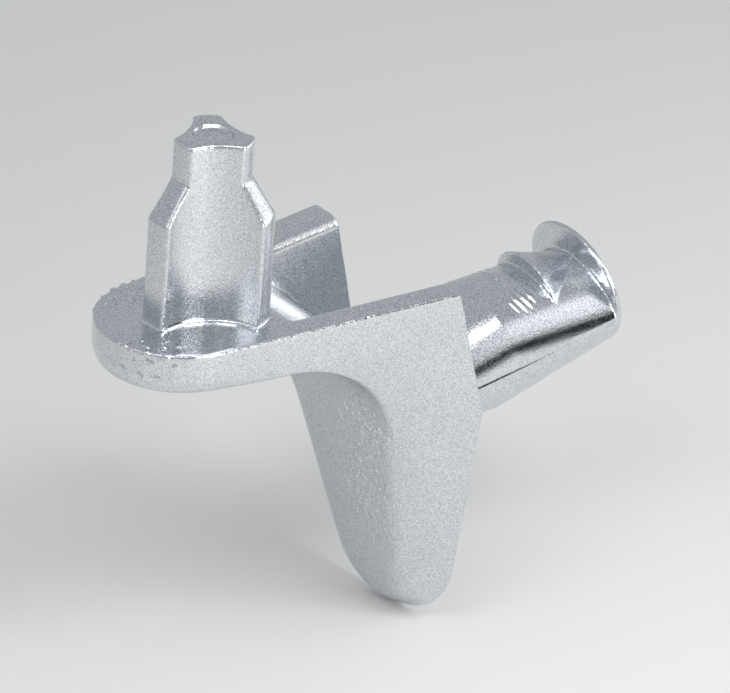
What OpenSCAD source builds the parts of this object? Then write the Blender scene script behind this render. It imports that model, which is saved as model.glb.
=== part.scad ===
// Shelf support pin: one die-cast piece that plugs into a side panel and carries a shelf.
// Origin: where the axis of the panel's hole meets the panel face.
// +X runs into the panel, +Y along the panel face, +Z up to the shelf. Millimetres.

/* [Plate] */
// Height of the shelf seat above the axis of the panel's hole
seat_height = 5.3; // [5.1:0.1:5.6]
// Thickness of the plate
plate_thickness = 1.8; // [1.6:0.1:2]
// Radius of the lower edge round the plate's end
plate_edge_radius = 0.6; // [0.4:0.05:0.7]
// Panel face to the centre of the plate's round end
end_reach = 11.3; // [11:0.1:12]
// Radius of the plate's round end
end_radius = 3.13; // [2.9:0.01:3.3]
// Half of the plate's width where it meets the panel
panel_half_width = 4.43; // [4.3:0.01:4.8]

/* [Tongue] */
// Depth of the tongue's lowest point below the hole's axis
tongue_depth = 9.8; // [9:0.1:11]
// Radius of the tongue's round end against the panel
tongue_end_radius = 3.35; // [3:0.05:3.5]
// Panel face to the tongue's front face, at the plate's underside
tongue_front = 4.37; // [4.2:0.01:4.6]
// Lean of the tongue's front face
tongue_lean = 15; // [14:0.5:16]
// Radius of the tongue's front corners
corner_radius = 0.5; // [0.4:0.05:0.6]
// Radius of the bend between the plate and the tongue
bend_radius = 6; // [5.5:0.1:6.3]
// Lean of the side that faces the panel, above the hole's axis
relief_lean = 14; // [12:0.5:15]

/* [Pocket] */
// Thickness of the two cheeks beside the pocket
cheek = 1.3; // [1.1:0.05:1.4]
// Radius of the pocket's upper edge
pocket_edge_radius = 0.5; // [0.3:0.05:0.6]
// Thickness of the web under the pocket
web = 1.4; // [1.2:0.05:1.6]
// Height of the pocket's floor above the hole's axis, beside the panel
floor_height = 0.6; // [0.4:0.1:0.8]
// Radius of the pocket's round end, in plan
pocket_end_radius = 6.28; // [6:0.02:6.5]
// Panel face to the centre of the pocket's round end
pocket_end_centre = 2.05; // [1.9:0.05:2.2]

/* [Upright pin] */
// Panel face to the axis of the pin
pin_reach = 10.1; // [9.9:0.1:10.4]
// Diameter of the pin's body, which fits a hole in the shelf
pin_diameter = 4.96; // [4.8:0.02:5]
// Height of the pin's body
pin_body_height = 4.25; // [3.5:0.05:6]
// Height of the cone above the body
pin_cone_height = 1.42; // [1:0.02:2]
// Diameter of the pin's neck
pin_neck_diameter = 3.1; // [2.8:0.1:3.6]
// Height of the pin's neck
pin_neck_height = 1.6; // [1:0.1:2]
// Radius of each flute down the pin
flute_radius = 2.41; // [2.2:0.01:2.5]
// Distance of each flute's axis from the pin's axis
flute_reach = 3.39; // [3.35:0.01:3.6]
// Diameter of the round mark sunk into the pin's top
mark_diameter = 1.5; // [1:0.1:1.7]
// Depth of that mark
mark_depth = 0.18; // [0.1:0.02:0.3]

/* [Wall plug] */
// Diameter of the plug, which fits the panel's hole
plug_diameter = 5; // [4.8:0.05:5]
// Tilt of the plug's barbed part
plug_tilt = 14.5; // [13:0.5:16]
// Panel face to the point where the tilted part crosses the hole's axis
plug_crossing = 3; // [2.8:0.1:3.4]
// Length of the tilted part beyond that crossing
plug_length = 5.28; // [5.1:0.02:5.6]
// Length of the plug's end disc
end_disc = 0.24; // [0.2:0.02:0.4]
// Chamfer around the end disc
end_chamfer = 0.1; // [0.05:0.01:0.15]

/* [Hidden] */
$fn = 96;

// Facets round the curves that are lofted
loft_facets = 32;
// Inset that keeps lofted faces inside the flat ones they meet
inset = 0.02;
// Overlap where one volume runs into the next
overlap = 0.1;
// Larger than the whole part, for cutting
beyond = 40;

flute_count = 3;
underside = seat_height - plate_thickness;

// Flare of the plate's sides, tangent to its round end
side_span = norm([panel_half_width, end_reach]);
flare = acos(end_radius / side_span) - atan2(end_reach, panel_half_width);

// Half of the plate's width at a given X
function half_width(x) = panel_half_width + x * tan(flare);

// X of the tongue's front face at a given Z
function front_x(z) = -tongue_front + (underside - z) * tan(tongue_lean);

// Axis of the bend, tangent to the plate's underside and the tongue's front face
bend_z = underside - bend_radius;
bend_x = front_x(bend_z) - bend_radius / cos(tongue_lean);

// Where the bend runs out on the tongue's front face
runout_z = bend_z + bend_radius * sin(tongue_lean);

// Round tip at the lower end of the tongue's front face
tip_z = -7.35;
tip_ring_radius = 1.65;

// Half of the front face's width, from the plate's underside down to the tip
front_top_half = half_width(-tongue_front) - inset;
front_tip_half = tip_ring_radius + corner_radius;
function front_half(z) =
    front_tip_half + (front_top_half - front_tip_half) * (z - tip_z) / (underside - tip_z);

// Start of the wall plug, buried in the web
plug_start = -2.5;
plug_radius = plug_diameter / 2;
// The tilted part is a shade thinner, so the two rounds cross in a clean line
tilted_radius = plug_radius - inset;

// Barbs on the tilted part, from the plate outwards
first_barb = 1.5;
second_barb = 2.85;
first_barb_radius = 1.55;
first_barb_rise = 0.8;
first_barb_drop = 0.55;
second_barb_radius = 1.78;
second_barb_rise = 0.72;
second_barb_drop = 1.25;

// Flared plan of the plate with its round end
module plate_plan() {
    tangent_x = -end_reach - end_radius * sin(flare);
    tangent_y = end_radius * cos(flare);
    translate([-end_reach, 0])
        circle(r = end_radius);
    polygon([
        [tangent_x, -tangent_y],
        [0, -panel_half_width],
        [0, panel_half_width],
        [tangent_x, tangent_y]
    ]);
}

// Flat plate that the shelf rests on
module plate() {
    translate([0, 0, underside + plate_edge_radius])
        linear_extrude(plate_thickness - plate_edge_radius)
            plate_plan();
    plate_underside();
}

// Lower part of the plate, whose edge is round at the end and fades out towards the bend
module plate_underside() {
    ring_radius = end_radius - plate_edge_radius - inset;
    hull() {
        translate([-end_reach, 0, underside + plate_edge_radius])
            rotate_extrude()
                translate([ring_radius, 0])
                    circle(r = plate_edge_radius, $fn = loft_facets);
        translate([0, 0, underside])
            linear_extrude(plate_edge_radius + overlap)
                bend_plan(0);
    }
}

// Plan of the plate from the start of the bend to a given X
module bend_plan(far_x) {
    near_x = bend_x - overlap;
    near_half = half_width(near_x) - inset;
    far_half = half_width(far_x) - inset;
    polygon([
        [near_x, -near_half],
        [far_x, -far_half],
        [far_x, far_half],
        [near_x, near_half]
    ]);
}

// Tongue lofted from the panel face to its narrower front face
module tongue() {
    panel_width = panel_half_width - inset;
    corner_y = front_top_half - corner_radius;
    hull() {
        translate([-inset, -panel_width, 0])
            cube([overlap, 2 * panel_width, underside + overlap]);
        translate([-inset, 0, tongue_end_radius - tongue_depth])
            rotate([0, 90, 0])
                cylinder(h = overlap, r = tongue_end_radius);
        for (side = [-1, 1])
            translate([-tongue_front + corner_radius, side * corner_y, underside])
                cylinder(h = overlap, r = corner_radius, $fn = loft_facets);
        translate([front_x(tip_z) + corner_radius / cos(tongue_lean), 0, tip_z])
            rotate([0, 90 - tongue_lean, 0])
                rotate_extrude($fn = loft_facets)
                    translate([tip_ring_radius, 0])
                        circle(r = corner_radius, $fn = loft_facets);
    }
}

// Hollow bend that carries the plate's underside down into the tongue
module bend() {
    foot_radius = corner_radius - inset;
    foot_x = front_x(runout_z) + corner_radius / cos(tongue_lean);
    foot_y = front_half(runout_z) - corner_radius;
    difference() {
        hull() {
            translate([0, 0, underside])
                linear_extrude(overlap)
                    bend_plan(corner_radius - tongue_front);
            for (side = [-1, 1])
                translate([foot_x, side * foot_y, runout_z])
                    sphere(r = foot_radius, $fn = loft_facets);
        }
        translate([bend_x + inset, 0, bend_z + inset])
            rotate([90, 0, 0])
                cylinder(h = beyond, r = bend_radius, center = true);
    }
}

// Everything past the panel face, which leans back above the hole's axis
module panel_side() {
    translate([0, -beyond / 2, -beyond / 2])
        cube([beyond, beyond, beyond]);
    rotate([0, -relief_lean, 0])
        translate([0, -beyond / 2, 0])
            cube([beyond, beyond, beyond]);
}

// Plan of the pocket, with its sides parallel to the plate's
module pocket_plan() {
    inner = panel_half_width - cheek / cos(flare);
    narrow = inner - beyond / 4 * tan(flare);
    intersection() {
        polygon([
            [-beyond / 4, -narrow],
            [0, -inner],
            [0, inner],
            [-beyond / 4, narrow]
        ]);
        translate([-pocket_end_centre, 0])
            circle(r = pocket_end_radius);
    }
}

// Pocket cored into the bend from above, its floor following the bend
module pocket() {
    difference() {
        translate([0, 0, floor_height])
            linear_extrude(beyond)
                pocket_plan();
        translate([bend_x, 0, bend_z])
            rotate([90, 0, 0])
                cylinder(h = beyond, r = bend_radius + web, center = true);
    }
    for (side = [-1, 1])
        mirror([0, side < 0 ? 1 : 0, 0])
            cheek_edge();
}

// What the round on a cheek's upper inner edge takes away
module cheek_edge() {
    inner = panel_half_width - cheek / cos(flare);
    end_half = inner - (pocket_end_centre + pocket_end_radius) * tan(flare);
    reach = (pocket_end_centre + sqrt(pow(pocket_end_radius, 2) - pow(end_half, 2))) / cos(flare);
    translate([0, inner, seat_height])
        rotate([0, 0, flare])
            difference() {
                translate([-reach, -overlap, -pocket_edge_radius])
                    cube([reach + overlap, pocket_edge_radius + overlap, pocket_edge_radius + overlap]);
                translate([0, pocket_edge_radius, -pocket_edge_radius])
                    rotate([0, 90, 0])
                        cylinder(h = beyond, r = pocket_edge_radius, center = true);
            }
}

// Plate, bend and tongue in one, relieved and cored
module bracket() {
    difference() {
        union() {
            plate();
            tongue();
            bend();
        }
        panel_side();
        pocket();
    }
}

// Places a round along the plug's tilted part
module on_tilted_axis(along, rise) {
    translate([plug_crossing, 0, 0])
        rotate([0, -plug_tilt, 0])
            translate([along, 0, rise])
                rotate([0, 90, 0])
                    children();
}

// One barb: a steep face towards the plate and a ramp towards the plug's end
module barb(along, radius, rise, drop, length) {
    on_tilted_axis(along, rise)
        cylinder(h = length, r1 = radius, r2 = radius - drop);
}

// Plug of two crossing rounds, so that it goes in tilted and then swings level
module wall_plug() {
    disc_start = plug_length - end_disc;
    first_length = second_barb - first_barb + overlap;
    second_length = disc_start - second_barb + overlap;
    intersection() {
        translate([plug_start, 0, 0])
            rotate([0, 90, 0])
                cylinder(h = beyond, r = plug_radius);
        on_tilted_axis(-beyond, 0)
            cylinder(h = beyond + disc_start + overlap, r = tilted_radius);
    }
    barb(first_barb, first_barb_radius, first_barb_rise, first_barb_drop, first_length);
    barb(second_barb, second_barb_radius, second_barb_rise, second_barb_drop, second_length);
    on_tilted_axis(disc_start, 0)
        cylinder(h = end_disc - end_chamfer, r = plug_radius);
    on_tilted_axis(plug_length - end_chamfer, 0)
        cylinder(h = end_chamfer, r1 = plug_radius, r2 = plug_radius - end_chamfer);
}

// Upright pin with a coned shoulder and flutes down its whole height
module upright_pin() {
    pin_height = pin_body_height + pin_cone_height + pin_neck_height;
    body_radius = pin_diameter / 2;
    neck_radius = pin_neck_diameter / 2;
    translate([-pin_reach, 0, seat_height])
        difference() {
            union() {
                translate([0, 0, -overlap])
                    cylinder(h = pin_body_height + overlap, r = body_radius);
                translate([0, 0, pin_body_height])
                    cylinder(h = pin_cone_height, r1 = body_radius, r2 = neck_radius);
                translate([0, 0, pin_body_height + pin_cone_height])
                    cylinder(h = pin_neck_height, r = neck_radius);
            }
            for (turn = [0 : flute_count - 1])
                rotate([0, 0, turn * 360 / flute_count])
                    translate([flute_reach, 0, -beyond / 2])
                        cylinder(h = beyond, r = flute_radius);
            translate([0, 0, pin_height - mark_depth])
                cylinder(h = mark_depth + overlap, r = mark_diameter / 2);
        }
}

module shelf_support() {
    color("silver")
        union() {
            bracket();
            wall_plug();
            upright_pin();
        }
}

union() {
    shelf_support();
}
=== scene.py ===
"""Shelf support pin: a bright plated zinc casting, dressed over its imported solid."""

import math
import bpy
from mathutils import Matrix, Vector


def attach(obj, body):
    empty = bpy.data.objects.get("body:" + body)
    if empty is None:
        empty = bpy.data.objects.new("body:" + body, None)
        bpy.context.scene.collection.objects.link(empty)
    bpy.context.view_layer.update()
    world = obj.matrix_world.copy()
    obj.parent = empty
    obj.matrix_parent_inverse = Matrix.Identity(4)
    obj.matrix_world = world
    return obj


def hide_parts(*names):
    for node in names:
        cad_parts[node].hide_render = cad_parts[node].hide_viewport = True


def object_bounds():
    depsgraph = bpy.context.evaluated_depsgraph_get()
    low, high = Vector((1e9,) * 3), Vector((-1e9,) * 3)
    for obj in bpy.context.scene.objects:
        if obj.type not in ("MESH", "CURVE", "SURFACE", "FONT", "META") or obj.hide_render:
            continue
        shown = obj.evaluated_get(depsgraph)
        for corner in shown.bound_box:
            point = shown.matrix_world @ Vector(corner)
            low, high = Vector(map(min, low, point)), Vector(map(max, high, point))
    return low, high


bl_info = {
    "name": "Shelf Support Pin",
    "version": (1, 0, 0),
    "blender": (4, 5, 0),
    "location": "View3D > Sidebar > Shelf Pin",
    "description": "Softens, textures and finishes a die-cast shelf support pin and lights it",
    "category": "Object",
}

import bpy
import numpy as np
from mathutils import Euler, Matrix, Vector, noise

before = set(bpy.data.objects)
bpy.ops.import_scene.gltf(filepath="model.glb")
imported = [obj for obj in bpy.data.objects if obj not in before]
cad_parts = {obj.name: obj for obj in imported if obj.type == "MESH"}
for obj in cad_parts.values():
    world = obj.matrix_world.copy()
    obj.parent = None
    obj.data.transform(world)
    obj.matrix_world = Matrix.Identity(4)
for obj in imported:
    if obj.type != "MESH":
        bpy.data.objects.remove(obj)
CAD_LOW, CAD_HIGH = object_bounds()

MM = 0.001
NODE = "shelf_support"

# The photograph's frame, and the pixel where the origin of the part's frame falls in it
PHOTO_WIDTH = 730
PHOTO_HEIGHT = 693
ORIGIN_PIXEL = (408.5, 365.6)

# Soft boxes: name, place, point that each faces, width and height (all in mm) and brightness
LAMPS = (
    ("front_high", (0, -55, 70), (0, 0, 0), 40, 26, 7.5),
    ("front_low", (0, -90, 12), (0, 0, 0), 40, 26, 6.5),
    ("right", (70, -40, 40), (0, 0, 0), 40, 26, 0.5),
    ("right_low", (80, -40, 12), (0, 0, 0), 30, 26, 4.5),
    ("left", (-80, 0, 40), (0, 0, 0), 40, 26, 1.0),
    ("left_high", (-50, -30, 70), (0, 0, 0), 40, 26, 4.0),
    ("plug_side", (13.5, -11, 7.5), (4.8, 0, 1), 16, 8, 0.5),
    ("far_side", (60, -6, 15), (-9, -2, 10), 25, 25, 1.0),
)

# The dark end of the room: its direction, how far round it reaches and how high, as cosine and sine
DARK_END = (0.576, -0.815, 0.0)
DARK_REACH = (0.6, 0.85)
DARK_HEIGHT = (0.16, 0.32)

# Cast blisters: centre and reach of each patch, width and height of its blisters, all in mm
BLISTERS = (
    ((-12.1, 2.8, 5.3), 1.9, 0.24, 0.08),
    ((-14.0, -1.5, 5.0), 1.5, 0.32, 0.05),
    ((-3.3, -1.4, -0.9), 2.6, 0.17, 0.035),
    ((-2.4, -1.0, -4.5), 2.6, 0.17, 0.03),
)

# Noise between which a blister rises, and the share of a patch's reach that has them in full
SWELL_RANGE = (0.2, 0.45)
FULL_REACH = 0.5

# The plug: its root, where its tilted part crosses the hole's axis, the tilt and the radius
PLUG_ROOT = 0.2 * MM
PLUG_CROSSING = 3.0 * MM
PLUG_TILT = math.radians(14.5)
PLUG_RADIUS = 2.5 * MM

# Parting line along the plug, where its two rounds cross
PARTING_WIDTH = 0.1 * MM
PARTING_DEPTH = 0.04 * MM
PARTING_END = 4.9 * MM

# Flow ripples beside the first barb: place and reach along the plug, angle and spread from its top,
# their spacing, slant and height, and how steeply they rise to that height from the patch's edge
RIPPLE_PLACE = 1.7 * MM
RIPPLE_REACH = 0.9 * MM
RIPPLE_ANGLE = math.radians(36)
RIPPLE_SPREAD = math.radians(18)
RIPPLE_SPACING = 0.3 * MM
RIPPLE_SLANT = 0.5 * MM
RIPPLE_HEIGHT = 0.025 * MM
RIPPLE_RISE = 2

# Where the softer forms of the casting end, under the plate and beside the panel
SOFT_GROUP = "soft_forms"
SOFT_TOP = 4.6 * MM
SOFT_FADE = 0.5 * MM
PANEL_LEAN = math.radians(14)
PANEL_CLEAR = 0.3 * MM
RIM_FOOT = 4.5 * MM
RIM_SOFTNESS = 0.08

# How the skin is rebuilt: it is merged, turned so that no edge runs along the cells, and smoothed
MERGE_DISTANCE = 0.001 * MM
GRID_TURN = (0.45, 0.35, 0.6)
SMOOTH_SHARE = 0.5

# Plated zinc: detail and roughness of its two noises, and the depth of the cast grain
GRAIN_DETAIL = 3.0
GRAIN_ROUGHNESS = 0.6
GRAIN_DEPTH = 0.007 * MM
MOTTLE_DETAIL = 4.0
MOTTLE_ROUGHNESS = 0.55

# The mottle between which the plating goes from glossy to dull, and the grain from sound to pitted
DULLING_RANGE = (0.3, 0.7)
PLATING_ROUGHNESS = (0.07, 0.15)
PIT_RANGE = (0.60, 0.35)

# The floor's finish and the number of its sides
FLOOR_ROUGHNESS = 0.9
FLOOR_SIDES = 96

# The Mix node's colour sockets, which share their names with others
MIX_FIRST = 6
MIX_SECOND = 7
MIX_RESULT = 2


def ramp(value, start, end):
    """Rises from 0 at start to 1 at end, and stays there."""
    return min(max((value - start) / (end - start), 0.0), 1.0)


def linear(hex_colour):
    """Turns an sRGB hex colour into linear red, green, blue and alpha."""
    channels = []
    for start in (1, 3, 5):
        value = int(hex_colour[start : start + 2], 16) / 255
        if value <= 0.04045:
            channels.append(value / 12.92)
        else:
            channels.append(((value + 0.055) / 1.055) ** 2.4)
    return (*channels, 1.0)


def blisters(points):
    """Height of the cast blisters at each point of the skin."""
    heights = np.zeros(len(points))
    for centre, reach, width, rise in BLISTERS:
        away = np.linalg.norm(points - np.array(centre) * MM, axis=1)
        for index in np.nonzero(away < reach * MM)[0]:
            swell = ramp(noise.noise(Vector(points[index]) / (width * MM)), *SWELL_RANGE)
            fade = ramp(away[index], reach * MM, FULL_REACH * reach * MM)
            heights[index] += rise * MM * swell * fade
    return heights


def plug_marks(points):
    """Depth of the parting line and height of the flow ripples at each point of the plug."""
    x, y, z = points.T
    out = x - PLUG_CROSSING
    off_line = abs(z - out * math.tan(PLUG_TILT / 2))
    along = out * math.cos(PLUG_TILT) + z * math.sin(PLUG_TILT)
    on_side = (x > PLUG_ROOT) & (along < PARTING_END) & (abs(y) > PLUG_RADIUS / 2)
    parting = np.clip(1 - off_line / PARTING_WIDTH, 0, 1) * on_side
    rise = z * math.cos(PLUG_TILT) - out * math.sin(PLUG_TILT)
    angle = np.arctan2(abs(y), rise)
    across = np.clip(1 - abs(angle - RIPPLE_ANGLE) / RIPPLE_SPREAD, 0, 1)
    lengthwise = np.clip(1 - abs(along - RIPPLE_PLACE) / RIPPLE_REACH, 0, 1)
    ripple = np.cos(math.tau * (along - RIPPLE_SLANT * angle) / RIPPLE_SPACING)
    fade = np.minimum(1, RIPPLE_RISE * across * lengthwise)
    return RIPPLE_HEIGHT * ripple * fade - PARTING_DEPTH * parting


class CastingSettings(bpy.types.PropertyGroup):
    """Sizes of the casting's soft edges and surface."""

    voxel: bpy.props.FloatProperty(
        name="Surface detail",
        description="Size of the cells that the casting's skin is rebuilt from",
        default=0.047 * MM,
        unit="LENGTH",
        precision=6,
    )
    edge_passes: bpy.props.IntProperty(
        name="Edge passes",
        description="Smoothing passes that round every edge of the casting",
        default=9,
    )
    corner_passes: bpy.props.IntProperty(
        name="Corner passes",
        description="Further passes on the bend and the tongue, which the mould leaves rounder",
        default=200,
    )
    waviness: bpy.props.FloatProperty(
        name="Waviness",
        description="Height of the slow waves that cooling leaves in the faces",
        default=0.0015 * MM,
        unit="LENGTH",
        precision=6,
    )
    wave_width: bpy.props.FloatProperty(
        name="Wave width",
        description="Width of those waves",
        default=0.9 * MM,
        unit="LENGTH",
        precision=6,
    )
    triangles: bpy.props.IntProperty(
        name="Triangles",
        description="Largest number of triangles in the finished skin",
        default=190000,
    )


class FinishSettings(bpy.types.PropertyGroup):
    """Colour and surface of the plated zinc."""

    colour: bpy.props.FloatVectorProperty(
        name="Plating",
        description="Colour of the bright zinc plating",
        subtype="COLOR",
        size=4,
        default=linear("#E9EBEE"),
    )
    pits: bpy.props.FloatVectorProperty(
        name="Pits",
        description="Colour of the duller pits between the grains",
        subtype="COLOR",
        size=4,
        default=linear("#B7BDC3"),
    )
    grain: bpy.props.FloatProperty(
        name="Cast grain",
        description="Width of the fine grain that the mould leaves",
        default=0.06 * MM,
        unit="LENGTH",
        precision=6,
    )
    mottle: bpy.props.FloatProperty(
        name="Mottle",
        description="Width of the duller patches in the plating",
        default=1.1 * MM,
        unit="LENGTH",
        precision=6,
    )


class StageSettings(bpy.types.PropertyGroup):
    """Camera, floor and light."""

    azimuth: bpy.props.FloatProperty(
        name="Azimuth",
        description="Direction that the camera looks from",
        default=math.radians(-40.58),
        subtype="ANGLE",
    )
    elevation: bpy.props.FloatProperty(
        name="Elevation",
        description="Height of the camera above the horizon",
        default=math.radians(27.69),
        subtype="ANGLE",
    )
    roll: bpy.props.FloatProperty(
        name="Roll",
        description="How far the camera is turned about its own line of sight",
        default=math.radians(3.484),
        subtype="ANGLE",
    )
    pixels_per_mm: bpy.props.FloatProperty(
        name="Pixels per millimetre",
        description="Scale of the part in the photograph",
        default=27.0,
    )
    distance: bpy.props.FloatProperty(
        name="Distance",
        description="Camera to the part",
        default=1.1,
        unit="LENGTH",
    )
    floor: bpy.props.FloatVectorProperty(
        name="Floor",
        description="Colour of the plain floor",
        subtype="COLOR",
        size=4,
        default=linear("#EDEBE9"),
    )
    floor_radius: bpy.props.FloatProperty(
        name="Floor radius",
        description="Radius of the round floor under the part",
        default=0.13,
        unit="LENGTH",
    )
    room: bpy.props.FloatVectorProperty(
        name="Room",
        description="Colour of the room's light from above",
        subtype="COLOR",
        size=4,
        default=linear("#B7BBBE"),
    )
    horizon: bpy.props.FloatVectorProperty(
        name="Horizon",
        description="Colour of the darker room at the height of the part",
        subtype="COLOR",
        size=4,
        default=linear("#15181A"),
    )


def deselect():
    """Leaves nothing selected, so that an operator acts on one piece alone."""
    if bpy.context.mode != "OBJECT":
        bpy.ops.object.mode_set(mode="OBJECT")
    bpy.ops.object.select_all(action="DESELECT")


def make_active(obj):
    """Selects one object and makes it the active one."""
    deselect()
    obj.select_set(True)
    bpy.context.view_layer.objects.active = obj


def apply_modifier(obj, kind, **settings):
    """Adds a modifier with its settings and applies it to the mesh."""
    make_active(obj)
    modifier = obj.modifiers.new(kind.title(), kind)
    for key, value in settings.items():
        setattr(modifier, key, value)
    bpy.ops.object.modifier_apply(modifier=modifier.name)


def add_node(tree, kind, links=(), values=(), **options):
    """Adds a node with its options, links (input, socket) pairs and sets (input, value) pairs."""
    node = tree.nodes.new(kind)
    for key, option in options.items():
        setattr(node, key, option)
    for key, socket in links:
        tree.links.new(socket, node.inputs[key])
    for key, value in values:
        node.inputs[key].default_value = value
    return node


def blank_material(name):
    """A new material with an empty node tree."""
    material = bpy.data.materials.new(name)
    material.use_nodes = True
    material.node_tree.nodes.clear()
    return material


def plated_zinc(settings):
    """Bright zinc plating over a pressure die casting: cool, fairly glossy, with a fine cast grain."""
    material = blank_material("bright_plated_zinc_die_casting")
    tree = material.node_tree
    place = add_node(tree, "ShaderNodeTexCoord").outputs["Object"]
    grain = add_node(
        tree,
        "ShaderNodeTexNoise",
        [("Vector", place)],
        [("Scale", 1 / settings.grain), ("Detail", GRAIN_DETAIL), ("Roughness", GRAIN_ROUGHNESS)],
    ).outputs["Fac"]
    mottle = add_node(
        tree,
        "ShaderNodeTexNoise",
        [("Vector", place)],
        [("Scale", 1 / settings.mottle), ("Detail", MOTTLE_DETAIL), ("Roughness", MOTTLE_ROUGHNESS)],
    ).outputs["Fac"]
    dulling = add_node(
        tree,
        "ShaderNodeMapRange",
        [("Value", mottle)],
        [
            ("From Min", DULLING_RANGE[0]),
            ("From Max", DULLING_RANGE[1]),
            ("To Min", PLATING_ROUGHNESS[0]),
            ("To Max", PLATING_ROUGHNESS[1]),
        ],
    )
    bump = add_node(
        tree,
        "ShaderNodeBump",
        [("Height", grain)],
        [("Strength", 1.0), ("Distance", GRAIN_DEPTH)],
    )
    pits = add_node(
        tree,
        "ShaderNodeMapRange",
        [("Value", grain)],
        [("From Min", PIT_RANGE[0]), ("From Max", PIT_RANGE[1])],
    )
    plating = add_node(
        tree,
        "ShaderNodeMix",
        [("Factor", pits.outputs["Result"])],
        [(MIX_FIRST, settings.colour), (MIX_SECOND, settings.pits)],
        data_type="RGBA",
    )
    shader = add_node(
        tree,
        "ShaderNodeBsdfPrincipled",
        [
            ("Base Color", plating.outputs[MIX_RESULT]),
            ("Roughness", dulling.outputs["Result"]),
            ("Normal", bump.outputs["Normal"]),
        ],
        [("Metallic", 1.0)],
    )
    add_node(tree, "ShaderNodeOutputMaterial", [("Surface", shader.outputs["BSDF"])])
    return material


def floor_paint(settings):
    """Matt pale paint for the studio floor."""
    material = blank_material("matt_floor_paint")
    tree = material.node_tree
    shader = add_node(
        tree,
        "ShaderNodeBsdfPrincipled",
        values=[("Base Color", settings.floor), ("Roughness", FLOOR_ROUGHNESS)],
    )
    add_node(tree, "ShaderNodeOutputMaterial", [("Surface", shader.outputs["BSDF"])])
    return material


class SHELFPIN_OT_casting(bpy.types.Operator):
    """Makes the casting: the solid's own form with the soft edges that a mould leaves"""

    bl_idname = "shelfpin.casting"
    bl_label = "Casting"

    def execute(self, context):
        settings = context.scene.shelfpin_casting
        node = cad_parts[NODE]
        body = bpy.data.objects.new("cast_body", node.data.copy())
        context.collection.objects.link(body)
        self.rebuild_skin(body, settings)
        apply_modifier(body, "SMOOTH", factor=SMOOTH_SHARE, iterations=settings.edge_passes)
        self.mark_soft_forms(body)
        apply_modifier(
            body,
            "SMOOTH",
            factor=SMOOTH_SHARE,
            iterations=settings.corner_passes,
            vertex_group=SOFT_GROUP,
        )
        self.raise_flaws(body)
        self.add_waves(body, settings)
        self.thin_skin(body, settings)
        make_active(body)
        bpy.ops.object.shade_smooth()
        body.data.materials.clear()
        body.data.materials.append(plated_zinc(context.scene.shelfpin_finish))
        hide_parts(NODE)
        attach(body, "root")
        return {"FINISHED"}

    def rebuild_skin(self, body, settings):
        """Joins the solid's loose triangles and rebuilds its skin from small even cells."""
        make_active(body)
        bpy.ops.object.mode_set(mode="EDIT")
        bpy.ops.mesh.select_all(action="SELECT")
        bpy.ops.mesh.remove_doubles(threshold=MERGE_DISTANCE)
        bpy.ops.object.mode_set(mode="OBJECT")
        turn = Euler(GRID_TURN).to_matrix().to_4x4()
        body.data.transform(turn)
        apply_modifier(body, "REMESH", mode="VOXEL", voxel_size=settings.voxel)
        body.data.transform(turn.inverted())

    def mark_soft_forms(self, body):
        """Weights the bend and the tongue, up to the plate and the panel, and the rim and pin a little."""
        group = body.vertex_groups.new(name=SOFT_GROUP)
        for vertex in body.data.vertices:
            below_plate = ramp(vertex.co.z, SOFT_TOP, SOFT_TOP - SOFT_FADE)
            panel = -max(vertex.co.z, 0.0) * math.tan(PANEL_LEAN)
            off_panel = ramp(vertex.co.x, panel - PANEL_CLEAR, panel - PANEL_CLEAR - SOFT_FADE)
            on_rim = RIM_SOFTNESS * ramp(vertex.co.z, RIM_FOOT, RIM_FOOT + SOFT_FADE)
            weight = max(below_plate * off_panel, on_rim)
            if weight > 0.0:
                group.add([vertex.index], weight, "REPLACE")

    def raise_flaws(self, body):
        """Moves the skin out or in where the casting has blisters, ripples and a parting line."""
        vertices = body.data.vertices
        points = np.empty(3 * len(vertices))
        normals = np.empty(3 * len(vertices))
        vertices.foreach_get("co", points)
        vertices.foreach_get("normal", normals)
        points = points.reshape(-1, 3)
        moves = blisters(points) + plug_marks(points)
        points += normals.reshape(-1, 3) * moves[:, None]
        vertices.foreach_set("co", points.ravel())
        body.data.update()

    def add_waves(self, body, settings):
        """Gives the faces the slow waves that cooling leaves."""
        waves = bpy.data.textures.new("cooling_waves", "CLOUDS")
        waves.noise_scale = settings.wave_width
        apply_modifier(
            body,
            "DISPLACE",
            texture=waves,
            texture_coords="LOCAL",
            strength=settings.waviness,
        )

    def thin_skin(self, body, settings):
        """Brings the skin's four-sided cells, two triangles each, down to the number allowed."""
        count = 2 * len(body.data.polygons)
        if count > settings.triangles:
            apply_modifier(body, "DECIMATE", ratio=settings.triangles / count)


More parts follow.
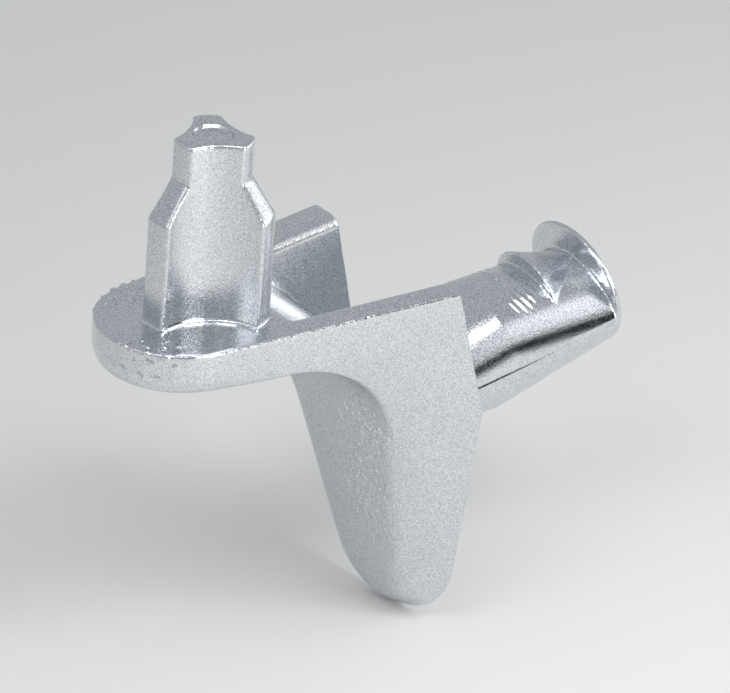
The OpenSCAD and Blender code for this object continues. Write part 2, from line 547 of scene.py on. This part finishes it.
class SHELFPIN_OT_stage(bpy.types.Operator):
    """Sets the floor, the soft lamps, the room's light and the camera"""

    bl_idname = "shelfpin.stage"
    bl_label = "Stage"

    def execute(self, context):
        settings = context.scene.shelfpin_stage
        self.lay_floor(settings)
        self.hang_lamps()
        self.light_room(context.scene, settings)
        self.place_camera(context.scene, settings)
        context.scene.view_settings.view_transform = "Standard"
        return {"FINISHED"}

    def lay_floor(self, settings):
        """Lays a round pale floor under the tip of the tongue."""
        deselect()
        bpy.ops.mesh.primitive_circle_add(
            vertices=FLOOR_SIDES,
            radius=settings.floor_radius,
            fill_type="NGON",
            location=((CAD_LOW.x + CAD_HIGH.x) / 2, 0, CAD_LOW.z),
        )
        floor = bpy.context.active_object
        floor.name = "floor"
        floor.data.materials.append(floor_paint(settings))

    def hang_lamps(self):
        """Hangs the soft boxes, with the power that gives each its brightness at its size."""
        for name, place, aim, width, height, radiance in LAMPS:
            location = Vector(place) * MM
            deselect()
            bpy.ops.object.light_add(type="AREA", location=location)
            lamp = bpy.context.active_object
            lamp.name = name
            lamp.data.shape = "RECTANGLE"
            lamp.data.size = width * MM
            lamp.data.size_y = height * MM
            lamp.data.energy = radiance * math.pi * width * height * MM**2
            lamp.visible_camera = False
            lamp.rotation_mode = "QUATERNION"
            lamp.rotation_quaternion = (Vector(aim) * MM - location).to_track_quat("-Z", "Y")

    def light_room(self, scene, settings):
        """Fills the room with soft light, which is darker low down at one end."""
        world = bpy.data.worlds.new("soft_room")
        world.use_nodes = True
        tree = world.node_tree
        tree.nodes.clear()
        direction = add_node(tree, "ShaderNodeTexCoord").outputs["Generated"]
        height = add_node(tree, "ShaderNodeSeparateXYZ", [("Vector", direction)]).outputs["Z"]
        low = add_node(
            tree,
            "ShaderNodeMapRange",
            [("Value", height)],
            [("From Min", DARK_HEIGHT[1]), ("From Max", DARK_HEIGHT[0])],
            interpolation_type="SMOOTHSTEP",
        )
        facing = add_node(
            tree,
            "ShaderNodeVectorMath",
            [(0, direction)],
            [(1, DARK_END)],
            operation="DOT_PRODUCT",
        )
        ahead = add_node(
            tree,
            "ShaderNodeMapRange",
            [("Value", facing.outputs["Value"])],
            [("From Min", DARK_REACH[0]), ("From Max", DARK_REACH[1])],
            interpolation_type="SMOOTHSTEP",
        )
        dark = add_node(
            tree,
            "ShaderNodeMath",
            [(0, low.outputs["Result"]), (1, ahead.outputs["Result"])],
            operation="MULTIPLY",
        )
        blend = add_node(
            tree,
            "ShaderNodeMix",
            [("Factor", dark.outputs["Value"])],
            [(MIX_FIRST, settings.room), (MIX_SECOND, settings.horizon)],
            data_type="RGBA",
        )
        glow = add_node(tree, "ShaderNodeBackground", [("Color", blend.outputs[MIX_RESULT])])
        add_node(tree, "ShaderNodeOutputWorld", [("Surface", glow.outputs["Background"])])
        scene.world = world

    def place_camera(self, scene, settings):
        """Stands the camera where the photograph was taken from, with the part at its place in it."""
        level = math.cos(settings.elevation)
        rise = math.sin(settings.elevation)
        back = Vector((math.sin(settings.azimuth) * level, -math.cos(settings.azimuth) * level, rise))
        turn = (-back).to_track_quat("-Z", "Y").to_matrix()
        turn = turn @ Matrix.Rotation(settings.roll, 3, "Z")
        right = turn.col[0]
        up = turn.col[1]
        step = MM / settings.pixels_per_mm
        across = (PHOTO_WIDTH / 2 - ORIGIN_PIXEL[0]) * step
        above = (ORIGIN_PIXEL[1] - PHOTO_HEIGHT / 2) * step
        centre = right * across + up * above
        data = bpy.data.cameras.new("photo_camera")
        data.lens = data.sensor_width * settings.distance / (PHOTO_WIDTH * step)
        camera = bpy.data.objects.new("photo_camera", data)
        camera.location = centre + back * settings.distance
        camera.rotation_mode = "QUATERNION"
        camera.rotation_quaternion = turn.to_quaternion()
        scene.collection.objects.link(camera)
        scene.camera = camera


class SHELFPIN_PT_panel(bpy.types.Panel):
    """Lists the casting and the stage"""

    bl_label = "Shelf Support Pin"
    bl_idname = "SHELFPIN_PT_panel"
    bl_space_type = "VIEW_3D"
    bl_region_type = "UI"
    bl_category = "Shelf Pin"

    def draw(self, context):
        scene = context.scene
        for group in (scene.shelfpin_casting, scene.shelfpin_finish, scene.shelfpin_stage):
            for key in group.__annotations__:
                self.layout.prop(group, key)
        self.layout.operator(SHELFPIN_OT_casting.bl_idname)
        self.layout.operator(SHELFPIN_OT_stage.bl_idname)


CLASSES = (
    CastingSettings,
    FinishSettings,
    StageSettings,
    SHELFPIN_OT_casting,
    SHELFPIN_OT_stage,
    SHELFPIN_PT_panel,
)


def register():
    for cls in CLASSES:
        bpy.utils.register_class(cls)
    bpy.types.Scene.shelfpin_casting = bpy.props.PointerProperty(type=CastingSettings)
    bpy.types.Scene.shelfpin_finish = bpy.props.PointerProperty(type=FinishSettings)
    bpy.types.Scene.shelfpin_stage = bpy.props.PointerProperty(type=StageSettings)


def unregister():
    del bpy.types.Scene.shelfpin_stage
    del bpy.types.Scene.shelfpin_finish
    del bpy.types.Scene.shelfpin_casting
    for cls in reversed(CLASSES):
        bpy.utils.unregister_class(cls)


def main():
    register()
    bpy.ops.shelfpin.casting()
    bpy.ops.shelfpin.stage()


if __name__ == "__main__":
    main()
